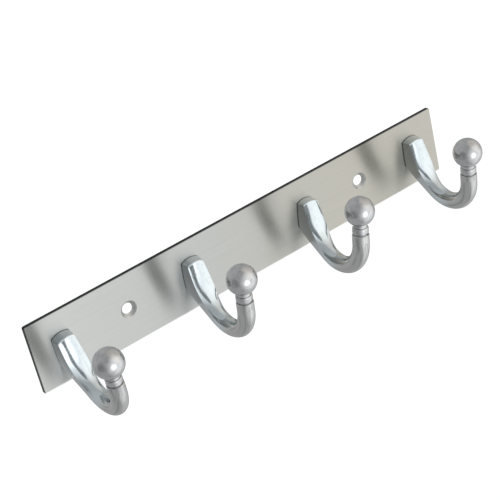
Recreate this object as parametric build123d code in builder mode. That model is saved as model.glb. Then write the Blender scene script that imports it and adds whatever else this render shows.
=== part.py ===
from build123d import *
import os
from math import cos, radians, sin

# Wall hook rack: a flat steel bar with four cast J hooks. One countersunk screw from
# behind holds each hook, and a ball finial on a turned collar closes each arm.
# Frame: origin at the centre of the bar's back face, +X along the bar, +Z up. The wall
# is behind, at +Y, and the hooks reach out towards -Y.

# ---- driving dimensions, mm and degrees ----
plate_length = 273.0
plate_height = 40.0
plate_thickness = 2.0
plate_corner_radius = 1.0

hook_pitch = 79.0
wall_hole_spacing = 2 * hook_pitch  # each wall hole is midway between two hooks
wall_hole_radius = 3.0
wall_countersink_radius = 4.8

# How each casting sits, from the first hook to the last: its shift along the bar and
# up, its turn about its own screw, and how far its arm is set down (+) or up (-).
hook_seats = (
    (-0.1, -0.9, -4.3, 2.2),
    (1.6, 0.8, 1.8, 0.0),
    (0.2, -1.4, 6.9, -2.9),
    (0.1, 0.5, 0.8, 0.8),
)

# The J's centre line is a bend about an axis in front of the plate, then a short
# straight run that leans outwards. Hook sizes start from the plate's front face.
bend_out = 27.5
bend_drop = 4.75
bend_radius = 18.7
arm_lean = 6.6
arm_straight = 5.7
arm_radius = 4.6
arm_rim_chamfer = 0.35

foot_rise = 10.0  # level of the first foot section, above the plate's centre line
foot_back = 2.0  # how far the casting reaches behind its seat before it is faced off
foot_crown = 9.5
foot_crown_radius = 10.2
foot_crown_draft = 8.0
crown_rounding = 1.0
crown_cut_length = 40.0  # long enough to cross the whole foot
crown_cut_height = 60.0
bar_start_angle = 55.0  # where the foot has become the round bar
crease_angle = 25.0  # where the foot's side edges end on the round bar
side_flat = 0.02  # the bar's sides are this much flatter than a true round

screw_radius = 2.0
screw_length = 8.0
screw_head_radius = 3.8
screw_hole_radius = 2.15  # clearance hole through the plate
screw_hole_depth = 6.8  # tapped hole in the foot
recess_length = 4.0
recess_width = 0.9
recess_depth = 1.3

collar_height = 6.0
collar_waist_radius = 3.7
collar_bead_radius = 4.4
collar_bead_bottom = 0.8
collar_bead_top = 4.3
collar_bead_rounding = 0.7
collar_bore_radius = 2.15

ball_radius = 8.1
ball_height = 13.2  # ball centre along the arm's axis, from the arm's end
stud_radius = 2.0
stud_reach = 5.0  # how far the stud goes into the arm
stud_hole_depth = 5.6

countersink_angle = 90.0

os.makedirs("parts", exist_ok=True)

# ---- planes ----
front_face = Plane(origin=(0, -plate_thickness, 0), x_dir=(1, 0, 0), z_dir=(0, -1, 0))
back_face = Plane(origin=(0, 0, 0), x_dir=(1, 0, 0), z_dir=(0, 1, 0))
bend_axis = Axis((0, -bend_out, -bend_drop), (-1, 0, 0))


def bend_plane(angle):
    """Section plane through the bend's axis: 0 is level with it, 90 straight below."""
    outward = Vector(0, cos(radians(angle)), -sin(radians(angle)))
    return Plane(bend_axis.position, x_dir=(1, 0, 0), z_dir=Vector(1, 0, 0).cross(outward))


# ---- back plate ----
hook_count = len(hook_seats)
hook_xs = [
    (index - (hook_count - 1) / 2) * hook_pitch + hook_seats[index][0]
    for index in range(hook_count)
]
hook_zs = [seat[1] for seat in hook_seats]
hook_centres = list(zip(hook_xs, hook_zs))
wall_hole_xs = [-wall_hole_spacing / 2, wall_hole_spacing / 2]

with BuildPart() as back_plate:
    with BuildSketch(Plane.XZ):
        RectangleRounded(plate_length, plate_height, plate_corner_radius)
    extrude(amount=plate_thickness)
    with Locations(front_face):
        with Locations([(x, 0) for x in wall_hole_xs]):
            CounterSinkHole(wall_hole_radius, wall_countersink_radius, None, countersink_angle)
    with Locations(back_face):
        with Locations([(x, -z) for x, z in hook_centres]):
            CounterSinkHole(screw_hole_radius, screw_head_radius, None, countersink_angle)
back_plate.part.label = "back_plate"
export_step(back_plate.part, "parts/back_plate.step")

# ---- hook arm, modelled at its own seat: y = 0 is the face on the plate ----
# Each foot section is a rounded front, two slightly bulged sides and a back. It is given
# by the front's middle, the side edge (x, distance), how far the side bulges, the side's
# end (x, distance) and the back's middle. Distances are from the bend's axis.
round_edge = (
    arm_radius * cos(radians(crease_angle)),
    bend_radius - arm_radius * sin(radians(crease_angle)),
)
round_side_end = (round_edge[0], 2 * bend_radius - round_edge[1])
back_reach = bend_out + foot_back
foot_top_plane = bend_plane(0).offset(bend_drop + foot_rise)
foot_sections = (
    (foot_top_plane, 22.2, (4.7, 22.9), 0.05, (5.7, 29.0), back_reach),
    (bend_plane(0), 17.2, (5.4, 18.0), 0.05, (6.0, 29.0), back_reach),
    (bend_plane(20), 15.3, (5.05, 16.45), 0.1, (5.2, 23.5), 26.0),
    (bend_plane(38), 14.5, (4.55, 16.3), 0.2, (4.55, 21.2), 23.8),
    (
        bend_plane(bar_start_angle),
        bend_radius - arm_radius,
        round_edge,
        arm_radius - round_edge[0] - side_flat,
        round_side_end,
        bend_radius + arm_radius,
    ),
)

with BuildPart() as hook_arm:
    for section_plane, front, edge, side_bulge, side_end, back in foot_sections:
        side_middle = ((edge[0] + side_end[0]) / 2 + side_bulge, (edge[1] + side_end[1]) / 2)
        with BuildSketch(section_plane):
            with BuildLine():
                ThreePointArc((-edge[0], edge[1]), (0, front), edge)
                ThreePointArc(edge, side_middle, side_end)
                ThreePointArc(side_end, (0, back), (-side_end[0], side_end[1]))
                ThreePointArc(
                    (-side_end[0], side_end[1]), (-side_middle[0], side_middle[1]), (-edge[0], edge[1])
                )
            make_face()
    loft()
    crown_tilt = radians(foot_crown_draft)
    crown_plane = Plane((0, foot_back, foot_crown), (1, 0, 0), (0, -cos(crown_tilt), -sin(crown_tilt)))
    with BuildSketch(crown_plane):
        with Locations((0, -foot_crown_radius)):
            Circle(foot_crown_radius)
            Rectangle(2 * foot_crown_radius, crown_cut_height, align=(Align.CENTER, Align.MAX))
    extrude(amount=crown_cut_length, mode=Mode.INTERSECT)
    crown_face = hook_arm.faces().filter_by(GeomType.CYLINDER).sort_by(Axis.Z)[-1]
    fillet(crown_face.edges().sort_by(Axis.Y)[:-1], crown_rounding)
    bar_start = hook_arm.faces().filter_by(GeomType.PLANE).sort_by(Axis.Z)[0]
    revolve(bar_start, axis=bend_axis, revolution_arc=180 - arm_lean - bar_start_angle)
    bend_end = hook_arm.faces().filter_by(GeomType.PLANE).sort_by(Axis.Y)[0]
    extrude(bend_end, amount=arm_straight)
    arm_end_face = hook_arm.faces().filter_by(GeomType.PLANE).sort_by(Axis.Y)[0]
    arm_end = Plane(arm_end_face.center(), x_dir=(1, 0, 0), z_dir=arm_end_face.normal_at())
    chamfer(arm_end_face.edges(), arm_rim_chamfer)
    with Locations(arm_end):
        Hole(stud_radius, depth=stud_hole_depth)

# ---- finial collar, threaded on the ball's stud and clamped against the arm ----
with BuildPart() as finial_collar:
    with BuildSketch(arm_end.offset(collar_bead_bottom)):
        Circle(collar_bead_radius)
    extrude(amount=collar_bead_top - collar_bead_bottom)
    fillet(finial_collar.edges().filter_by(GeomType.CIRCLE), collar_bead_rounding)
    with BuildSketch(arm_end):
        Circle(collar_waist_radius)
    extrude(amount=collar_height)
    with Locations(arm_end.offset(collar_height)):
        Hole(collar_bore_radius)

# ---- ball finial, turned in one piece with its stud ----
with BuildPart() as ball_finial:
    with Locations(arm_end.offset(ball_height)):
        Sphere(ball_radius)
    split(bisect_by=arm_end.offset(collar_height), keep=Keep.TOP)
    with BuildSketch(arm_end.offset(collar_height)):
        Circle(stud_radius)
    extrude(amount=-(collar_height + stud_reach))

# ---- countersunk machine screw, driven from the plate's back ----
screw_plane = Plane(origin=(0, plate_thickness, 0), x_dir=(1, 0, 0), z_dir=(0, -1, 0))
with BuildPart() as hook_screw:
    with BuildSketch(screw_plane):
        Circle(screw_head_radius)
    with BuildSketch(screw_plane.offset(screw_head_radius - screw_radius)):
        Circle(screw_radius)
    loft()
    with BuildSketch(screw_plane):
        Circle(screw_radius)
    extrude(amount=screw_length)
    with BuildSketch(screw_plane):
        Rectangle(recess_length, recess_width)
        Rectangle(recess_width, recess_length)
    extrude(amount=recess_depth, mode=Mode.SUBTRACT)

# ---- the four hooks in their places, each foot faced off flush with the plate ----
for number, (_, rise, turn, tilt) in enumerate(hook_seats, start=1):
    seat = Location((hook_xs[number - 1], -plate_thickness, rise), (0, turn, 0))
    arm_seat = seat * Location((0, 0, 0), (tilt, 0, 0))
    with BuildPart() as seated_arm:
        add(hook_arm.part.moved(arm_seat))
        split(bisect_by=front_face, keep=Keep.TOP)
        with Locations(seat * back_face.location):
            Hole(screw_radius, depth=screw_hole_depth)
    placed_pieces = {
        "hook_arm": seated_arm.part,
        "finial_collar": finial_collar.part.moved(arm_seat),
        "ball_finial": ball_finial.part.moved(arm_seat),
        "hook_screw": hook_screw.part.moved(seat),
    }
    for name, piece in placed_pieces.items():
        piece.label = f"{name}_{number}"
        export_step(piece, f"parts/{piece.label}.step")
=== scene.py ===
import math
import bpy
from mathutils import Euler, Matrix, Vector


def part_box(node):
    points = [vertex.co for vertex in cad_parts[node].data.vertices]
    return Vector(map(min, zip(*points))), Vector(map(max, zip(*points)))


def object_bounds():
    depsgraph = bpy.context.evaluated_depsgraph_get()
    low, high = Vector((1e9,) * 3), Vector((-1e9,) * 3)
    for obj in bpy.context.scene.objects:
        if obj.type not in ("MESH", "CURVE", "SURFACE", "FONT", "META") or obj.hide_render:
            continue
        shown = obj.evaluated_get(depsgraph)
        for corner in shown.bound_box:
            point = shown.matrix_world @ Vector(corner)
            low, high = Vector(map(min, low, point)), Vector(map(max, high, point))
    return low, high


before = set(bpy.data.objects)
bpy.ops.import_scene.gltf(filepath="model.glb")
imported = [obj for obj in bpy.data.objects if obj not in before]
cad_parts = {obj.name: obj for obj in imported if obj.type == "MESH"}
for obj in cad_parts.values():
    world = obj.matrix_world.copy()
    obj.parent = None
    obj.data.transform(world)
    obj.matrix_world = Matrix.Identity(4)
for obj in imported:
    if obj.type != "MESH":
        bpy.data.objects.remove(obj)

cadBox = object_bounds()
print("rack loaded:", len(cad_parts), "pieces")

hookNumbers = (1, 2, 3, 4)
mm = 0.001


class Wire:  # a node's output that takes part in sums
    def __init__(self, graph, socket):
        self.graph = graph
        self.socket = socket

    def __abs__(self):
        return self.graph.maths("ABSOLUTE", self)

    def __add__(self, other):
        return self.graph.maths("ADD", self, other)

    def __radd__(self, other):
        return self.graph.maths("ADD", other, self)

    def __sub__(self, other):
        return self.graph.maths("SUBTRACT", self, other)

    def __rsub__(self, other):
        return self.graph.maths("SUBTRACT", other, self)

    def __mul__(self, other):
        return self.graph.maths("MULTIPLY", self, other)

    def __rmul__(self, other):
        return self.graph.maths("MULTIPLY", other, self)

    def __pow__(self, other):
        return self.graph.maths("POWER", self, other)

    def between(self, low, high):  # 0 below low, 1 above high, smooth in between
        settings = {"interpolation_type": "SMOOTHSTEP"}
        inputs = {"Value": self, "From Min": low, "From Max": high}
        return self.graph.add("ShaderNodeMapRange", settings, inputs)

    def fade(self, low, high):  # the same with straight sides, for sharper marks
        return self.graph.add("ShaderNodeMapRange", {}, {"Value": self, "From Min": low, "From Max": high})


class ShaderGraph:
    def __init__(self, tree):
        self.tree = tree
        tree.nodes.clear()

    def add(self, kind, settings=None, inputs=None, output=0):
        node = self.tree.nodes.new(kind)
        for name, value in (settings or {}).items():
            setattr(node, name, value)
        for name, value in (inputs or {}).items():
            if isinstance(value, Wire):
                self.tree.links.new(value.socket, node.inputs[name])
            else:
                node.inputs[name].default_value = value
        return Wire(self, node.outputs[output]) if node.outputs else None

    def maths(self, operation, *values):
        return self.add("ShaderNodeMath", {"operation": operation}, dict(enumerate(values)))

    def place(self):  # metres in the rack's own frame
        return self.add("ShaderNodeTexCoord", {}, {}, "Object")

    def normal(self):
        return self.add("ShaderNodeNewGeometry", {}, {}, "Normal")

    def axes(self, vector):
        node = self.add("ShaderNodeSeparateXYZ", {}, {"Vector": vector}).socket.node
        return [Wire(self, node.outputs[name]) for name in "XYZ"]

    def stretched(self, vector, scale):
        return self.add("ShaderNodeVectorMath", {"operation": "MULTIPLY"}, {0: vector, 1: scale})

    def noise(self, vector, scale, detail=2.0, roughness=0.5):
        inputs = {"Vector": vector, "Scale": scale, "Detail": detail, "Roughness": roughness}
        return self.add("ShaderNodeTexNoise", {}, inputs, "Fac")

    def mixColour(self, factor, first, second, blend="MIX"):
        first, second = [(*c, 1) if isinstance(c, tuple) else c for c in (first, second)]
        settings = {"data_type": "RGBA", "blend_type": blend}
        return self.add("ShaderNodeMix", settings, {0: factor, 6: first, 7: second}, 2)

    def bump(self, height, strength, distance):
        return self.add("ShaderNodeBump", {}, {"Height": height, "Strength": strength, "Distance": distance})


def newMetal(name, slotColour):
    material = bpy.data.materials.new(name)
    material.use_nodes = True
    material.diffuse_color = (*slotColour, 1)
    return material, ShaderGraph(material.node_tree)


def finishMetal(graph, inputs):
    surface = graph.add("ShaderNodeBsdfPrincipled", {}, {"Metallic": 1.0, **inputs})
    graph.add("ShaderNodeOutputMaterial", {}, {"Surface": surface})


def dress(nodeName, material):
    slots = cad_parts[nodeName].data.materials
    slots.clear()
    slots.append(material)


# back plate: a brushed flat bar with sheared edges, with painted shade along its edges and a painted
# highlight along the bottom
plateLook = {
    "steel": (0.455, 0.462, 0.448),
    "warmLitSteel": (0.465, 0.452, 0.402),  # painted light: a warm tint towards the right end, standing in for the warm light that falls there
    "warmFrom": 0.4,  # share of the way to the left end where the tint begins
    "warmFull": 0.6,  # share of the way to the right end where it is full
    "millFinishAndLight": (0.66, 0.67, 0.66),  # the back is painted brighter: partly the sheet's mill finish, partly painted light for the dim light behind the rack
    # painted shade: near-black for the edge faces round the outline and for the rolled-over lines
    "edgeShade": (0.035, 0.04, 0.04),
    "rightEdgeShade": (0.22, 0.22, 0.21),  # painted shade on the right end's edge, lighter than on the others
    "rimDepth": (2 * mm, 4 * mm),  # only edges this near the outline are sheared and get the painted shade, not the holes' walls
    "edgeHighlightWidth": 0.7 * mm,  # width of the painted highlight along the bottom, where the edge rounds over
    "edgeHighlight": (0.95, 0.95, 0.94),
    "edgeHighlightShare": 0.7,
    "darkEdge": 0.35 * mm,  # width of the painted shade along the top and the left end, where the edge rolls over
    "rolledShadeShare": 0.8,
    "countersinkLight": (0.60, 0.61, 0.60),
    "roughness": 0.29,
    "brushPitch": 0.35 * mm,
    "brushLength": 45 * mm,
    "brushTurn": 0.25,  # a quarter turn lays the brushing along the bar
    "anisotropy": 0.96,
}


def makePlateSteel():
    material, graph = newMetal("brushedPlateSteel", plateLook["steel"])
    place = graph.place()
    x, y, z = graph.axes(place)
    nx, ny = graph.axes(graph.normal())[:2]
    low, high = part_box("back_plate")

    across = 1 / plateLook["brushPitch"]
    along = 1 / plateLook["brushLength"]
    brushing = graph.noise(graph.stretched(place, (along, across, across)), 1.0, 3.0, 0.65)
    coarse = graph.noise(graph.stretched(place, (along * 0.6, across * 0.2, across * 0.2)), 1.0, 2.0)
    clouds = graph.noise(place, 28.0, 3.0)

    # painted light: the steel is tinted warmer towards the right end
    warmLight = x.between(low.x * plateLook["warmFrom"], high.x * plateLook["warmFull"])
    steel = graph.mixColour(warmLight, plateLook["steel"], plateLook["warmLitSteel"])
    steel = graph.mixColour(1.0, steel, 0.90 + 0.12 * brushing + 0.08 * coarse, "MULTIPLY")
    back = ny.fade(0.9, 0.95)
    # partly painted light: the back face is painted brighter than the front
    steel = graph.mixColour(back, steel, plateLook["millFinishAndLight"])

    facing = abs(ny)  # 1 on the bar's two faces, 0 on its edges
    onEdge = 1 - facing.fade(0.35, 0.6)
    # painted shade on the edge faces; their extra roughness further down is the sheared metal
    edge = graph.mixColour(nx.fade(0.5, 0.8), plateLook["edgeShade"], plateLook["rightEdgeShade"])
    near, far = plateLook["rimDepth"]
    nearEnds = abs(x).fade(high.x - far, high.x - near)
    nearSides = abs(z).fade(high.z - far, high.z - near)
    shearedAndShaded = onEdge * graph.maths("MAXIMUM", nearEnds, nearSides)
    colour = graph.mixColour(shearedAndShaded, steel, edge)

    width = plateLook["edgeHighlightWidth"]
    # painted highlight: a bright strip along the bottom of the front face, standing in for the rounded edge
    # catching the light
    edgeHighlight = (1 - z.fade(low.z + 0.7 * width, low.z + width)) * (1 - onEdge) * (1 - back)
    colour = graph.mixColour(edgeHighlight * plateLook["edgeHighlightShare"], colour, plateLook["edgeHighlight"])

    # painted shade: a dark line along the top and the left end of the front face, standing in for the
    # rolled-over edge turning from the light
    width = plateLook["darkEdge"]
    rolledTop = z.fade(high.z - 1.4 * width, high.z - width)
    rolledEnd = 1 - x.fade(low.x + width, low.x + 1.4 * width)
    rolledShade = graph.maths("MAXIMUM", rolledTop, rolledEnd) * (1 - back)
    colour = graph.mixColour(rolledShade * plateLook["rolledShadeShare"], colour, plateLook["edgeShade"])

    cone = facing.fade(0.55, 0.62) * (1 - facing.fade(0.80, 0.87))  # the 45 degree countersinks, painted lighter: painted light standing in for the light they catch
    colour = graph.mixColour(cone, colour, plateLook["countersinkLight"])

    roughness = plateLook["roughness"] + 0.06 * (brushing - 0.5) + 0.05 * (clouds - 0.5) + 0.15 * shearedAndShaded
    finishMetal(graph, {
        "Base Color": colour,
        "Roughness": roughness,
        "Anisotropic": plateLook["anisotropy"],
        "Anisotropic Rotation": plateLook["brushTurn"],
        "Normal": graph.bump(brushing + coarse, 0.12, 0.02 * mm),
    })
    return material


dress("back_plate", makePlateSteel())
print("back plate dressed")

# hook castings: bright chrome over a hand-polished casting
hookLook = {
    "chrome": (0.69, 0.765, 0.80),
    "shadedChrome": (0.62, 0.68, 0.71),
    "flankShade": (0.60, 0.63, 0.65),
    "armChrome": (0.56, 0.565, 0.56),
    "darkReflectionStreak": (0.24, 0.26, 0.265),
    "contactShadow": (0.03, 0.035, 0.035),
    "streakWidth": 1.3 * mm,
    "streakLength": 17 * mm,
    "bendOut": 29.5 * mm,  # the bend's centre, in front of the wall and below the middle
    "bendDrop": 4.75 * mm,
    "bendRadius": 18.7 * mm,
    "armFrom": (24 * mm, 36 * mm),  # the duller round bar starts this far from the wall
    "flankDepth": (14 * mm, 24 * mm),  # the flank's painted shade and extra roughness fade out this far from the wall
    "contactShadowWidth": 0.8 * mm,  # painted contact shadow: a dark line where the foot meets the plate
    "contactShadowShare": 0.85,
    "roughness": 0.12,
    "polishWave": 6 * mm,  # slow waves left by the polishing wheel
    "grain": 0.5 * mm,
}


def alongBend(graph, place):  # noise drawn out along the J, for the painted reflection streaks
    x, y, z = graph.axes(place)
    outward = y + hookLook["bendOut"]
    upward = z + hookLook["bendDrop"]
    angle = graph.maths("ARCTAN2", upward, outward)
    radius = (outward * outward + upward * upward) ** 0.5
    perWidth = 1 / hookLook["streakWidth"]
    turns = angle * (hookLook["bendRadius"] / hookLook["streakLength"])
    drawn = graph.add("ShaderNodeCombineXYZ", {}, {"X": x * perWidth, "Y": radius * perWidth, "Z": turns})
    return graph.noise(drawn, 1.0, 2.0, 0.55)


def makeHookChrome():
    material, graph = newMetal("hookChrome", hookLook["chrome"])
    place = graph.place()
    waves = graph.noise(place, 1 / hookLook["polishWave"], 2.0)
    grain = graph.noise(place, 1 / hookLook["grain"], 2.0, 0.6)
    clouds = graph.noise(place, 90.0, 3.0)
    y = graph.axes(place)[1]
    nx = graph.axes(graph.normal())[0]

    colour = graph.mixColour(clouds * 0.5, hookLook["chrome"], hookLook["shadedChrome"])
    start, full = hookLook["armFrom"]
    foot = y.between(-full, -start)  # 1 on the foot, 0 on the round bar
    colour = graph.mixColour(foot, hookLook["armChrome"], colour)
    # painted reflection: dark streaks along the bend stand in for the room reflected in the polished bar
    reflectionStreak = alongBend(graph, place).between(0.50, 0.68)
    colour = graph.mixColour(reflectionStreak * (0.50 - 0.36 * foot), colour, hookLook["darkReflectionStreak"])

    near, far = hookLook["flankDepth"]
    # painted shade: the flanks near the wall are painted darker, standing in for the shade near the plate;
    # their extra roughness is the cast side
    flank = abs(nx).fade(0.80, 0.90) * y.between(-far, -near)
    colour = graph.mixColour(flank, colour, hookLook["flankShade"])

    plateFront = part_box("back_plate")[0].y
    shadowWidth = hookLook["contactShadowWidth"]
    # painted shadow where the foot meets the plate
    contactShadow = y.fade(plateFront - shadowWidth, plateFront - 0.4 * shadowWidth)
    colour = graph.mixColour(contactShadow * hookLook["contactShadowShare"], colour, hookLook["contactShadow"])

    roughness = hookLook["roughness"] + 0.05 * (clouds - 0.5) + 0.04 * (grain - 0.5) + 0.12 * flank
    finishMetal(graph, {
        "Base Color": colour,
        "Roughness": roughness,
        "Normal": graph.bump(waves + 0.06 * grain, 0.12, 0.10 * mm),
    })
    return material


hookChrome = makeHookChrome()
for number in hookNumbers:
    dress(f"hook_arm_{number}", hookChrome)
print("hook castings dressed")

# turned collars and balls: satin chrome with painted shade in the grooves
finialLook = {
    "chrome": (0.62, 0.63, 0.635),
    "shade": (0.43, 0.44, 0.45),
    "grooveShade": (0.10, 0.10, 0.11),
    "grooveReach": 1.2 * mm,  # how near a facing wall has to be for the painted shade to gather
    "grooveShare": 0.8,
    "ballRoughness": 0.14,
    "collarRoughness": 0.11,
    "turningPitch": 0.25 * mm,
}


def makeSatinChrome(name, roughness):
    material, graph = newMetal(name, finialLook["chrome"])
    place = graph.place()
    speckle = graph.noise(place, 1 / finialLook["turningPitch"], 2.0, 0.7)
    clouds = graph.noise(place, 160.0, 3.0)
    mottle = graph.noise(place, 420.0, 3.0, 0.6).between(0.42, 0.70)
    colour = graph.mixColour(clouds * 0.5 + mottle * 0.45, finialLook["chrome"], finialLook["shade"])
    distance = {"Distance": finialLook["grooveReach"]}
    openness = graph.add("ShaderNodeAmbientOcclusion", {"samples": 8}, distance, "AO")
    # painted shade: the grooves darken where ambient occlusion finds facing walls
    grooveShadeMask = finialLook["grooveShare"] * (1 - openness.between(0.35, 0.8))
    colour = graph.mixColour(grooveShadeMask, colour, finialLook["grooveShade"])
    finishMetal(graph, {
        "Base Color": colour,
        "Roughness": roughness + 0.06 * (clouds - 0.5) + 0.03 * (speckle - 0.5),
        "Normal": graph.bump(speckle + 2 * clouds, 0.10, 0.03 * mm),
    })
    return material


ballChrome = makeSatinChrome("ballSatinChrome", finialLook["ballRoughness"])
collarChrome = makeSatinChrome("collarSatinChrome", finialLook["collarRoughness"])
for number in hookNumbers:
    dress(f"ball_finial_{number}", ballChrome)
    dress(f"finial_collar_{number}", collarChrome)
print("balls and collars dressed")

# rear screws: bright zinc
screwLook = {
    "zinc": (0.62, 0.63, 0.63),
    "recessShade": (0.10, 0.10, 0.10),
    "recessFrom": 0.05 * mm,  # behind the head's face, where the painted shade in the recess starts
    "recessFull": 1.2 * mm,
    "recessShare": 0.8,
    "roughness": 0.32,
}


def makeScrewZinc():
    material, graph = newMetal("screwZinc", screwLook["zinc"])
    place = graph.place()
    y = graph.axes(place)[1]
    grain = graph.noise(place, 2500.0, 3.0)
    clouds = graph.noise(place, 400.0, 2.0)
    # painted shade: the screw is painted darker inside the recess
    depth = 1 - y.fade(-screwLook["recessFull"], -screwLook["recessFrom"])
    colour = graph.mixColour(depth * screwLook["recessShare"], screwLook["zinc"], screwLook["recessShade"])
    colour = graph.mixColour(1.0, colour, 0.85 + 0.3 * clouds, "MULTIPLY")
    finishMetal(graph, {
        "Base Color": colour,
        "Roughness": screwLook["roughness"] + 0.1 * (grain - 0.5),
        "Normal": graph.bump(grain, 0.2, 0.03 * mm),
    })
    return material


screwZinc = makeScrewZinc()
for number in hookNumbers:
    dress(f"hook_screw_{number}", screwZinc)
print("screws dressed")

# floor: a pale glowing sheet well below the rack
floorLook = {
    "drop": 400 * mm,
    "reach": 6.0,
    "paper": (1.0, 1.0, 1.0),
    "paperShade": (0.97, 0.97, 0.97),
    "glow": 1.05,
}


def makeFloor():
    level = cadBox[0].z - floorLook["drop"]
    reach = floorLook["reach"]
    mesh = bpy.data.meshes.new("paleFloor")
    corners = [(-reach, -reach, level), (reach, -reach, level), (reach, reach, level), (-reach, reach, level)]
    mesh.from_pydata(corners, [], [(0, 1, 2, 3)])
    floor = bpy.data.objects.new("paleFloor", mesh)
    bpy.context.scene.collection.objects.link(floor)
    material = bpy.data.materials.new("litPaper")
    material.use_nodes = True
    graph = ShaderGraph(material.node_tree)
    fibres = graph.noise(graph.place(), 30.0, 2.0)
    colour = graph.mixColour(fibres * 0.01, floorLook["paper"], floorLook["paperShade"])
    glow = graph.add("ShaderNodeEmission", {}, {"Color": colour, "Strength": floorLook["glow"]})
    graph.add("ShaderNodeOutputMaterial", {}, {"Surface": glow})
    mesh.materials.append(material)
    floor.visible_glossy = False  # the metal shows the studio round it, not this sheet
    floor.visible_shadow = False


makeFloor()

# studio: a soft grey room with large soft lights, given as directions round the rack
studioLook = {
    "room": 0.47,
    "backdrop": (1.0, 1.0, 1.0, 1.0),  # what the camera sees behind the rack, in place of the room
    "backdropGlow": 1.05,
    # azimuth from the front, elevation, full within, gone beyond, colour, strength
    # a negative strength is a dark patch
    "lights": {
        "key": (3, -10, 8, 27, (1.0, 1.0, 1.0), 1.0),
        "frontSheet": (22, -8, 20, 75, (0.98, 1.0, 1.02), 0.62),
        "warmRight": (68, 32, 8, 60, (1.0, 0.84, 0.68), 0.34),
        "lowRight": (72, -48, 10, 55, (0.99, 1.0, 1.0), 0.26),
        "darkLeft": (-82, 0, 8, 38, (1.0, 0.97, 0.94), -0.17),
        "darkBehind": (152, -28, 9, 28, (1.0, 1.0, 1.0), -0.26),
        "litBehind": (-160, 25, 20, 70, (1.0, 1.0, 1.0), 0.08),
    },
}


def lightDirection(azimuth, elevation):
    a = math.radians(azimuth)
    e = math.radians(elevation)
    return Vector((math.sin(a) * math.cos(e), -math.cos(a) * math.cos(e), math.sin(e)))


def makeStudio():
    world = bpy.data.worlds.new("softStudio")
    bpy.context.scene.world = world
    world.use_nodes = True
    graph = ShaderGraph(world.node_tree)
    direction = graph.add("ShaderNodeTexCoord", {}, {}, "Generated")
    light = (studioLook["room"],) * 3
    for azimuth, elevation, inner, outer, colour, strength in studioLook["lights"].values():
        towards = {0: direction, 1: lightDirection(azimuth, elevation)}
        facing = graph.add("ShaderNodeVectorMath", {"operation": "DOT_PRODUCT"}, towards, "Value")
        lobe = facing.between(math.cos(math.radians(outer)), math.cos(math.radians(inner)))
        tint = [channel * strength for channel in colour]
        glow = graph.add("ShaderNodeVectorMath", {"operation": "SCALE"}, {0: tint, "Scale": lobe})
        light = graph.add("ShaderNodeVectorMath", {"operation": "ADD"}, {0: glow, 1: light})
    room = graph.add("ShaderNodeBackground", {}, {"Color": light, "Strength": 1.0})
    paper = {"Color": studioLook["backdrop"], "Strength": studioLook["backdropGlow"]}
    backdrop = graph.add("ShaderNodeBackground", {}, paper)
    seen = graph.add("ShaderNodeLightPath", {}, {}, "Is Camera Ray")
    background = graph.add("ShaderNodeMixShader", {}, {0: seen, 1: room, 2: backdrop})
    graph.add("ShaderNodeOutputWorld", {}, {"Surface": background})


makeStudio()
print("studio lit")

cameraSetup = {
    "place": (-0.36357, -0.62553, 0.38099),
    "turn": (61.162, 12.273, -36.881),
    "lens": 109.456,
    "clip": (0.01, 50),
}


def makeCamera():
    data = bpy.data.cameras.new("rackCamera")
    data.lens = cameraSetup["lens"]
    data.clip_start, data.clip_end = cameraSetup["clip"]
    camera = bpy.data.objects.new("rackCamera", data)
    camera.location = cameraSetup["place"]
    camera.rotation_euler = Euler([math.radians(angle) for angle in cameraSetup["turn"]], "XYZ")
    bpy.context.scene.collection.objects.link(camera)
    bpy.context.scene.camera = camera


makeCamera()
bpy.context.scene.view_settings.view_transform = "Standard"

print("rack ready")
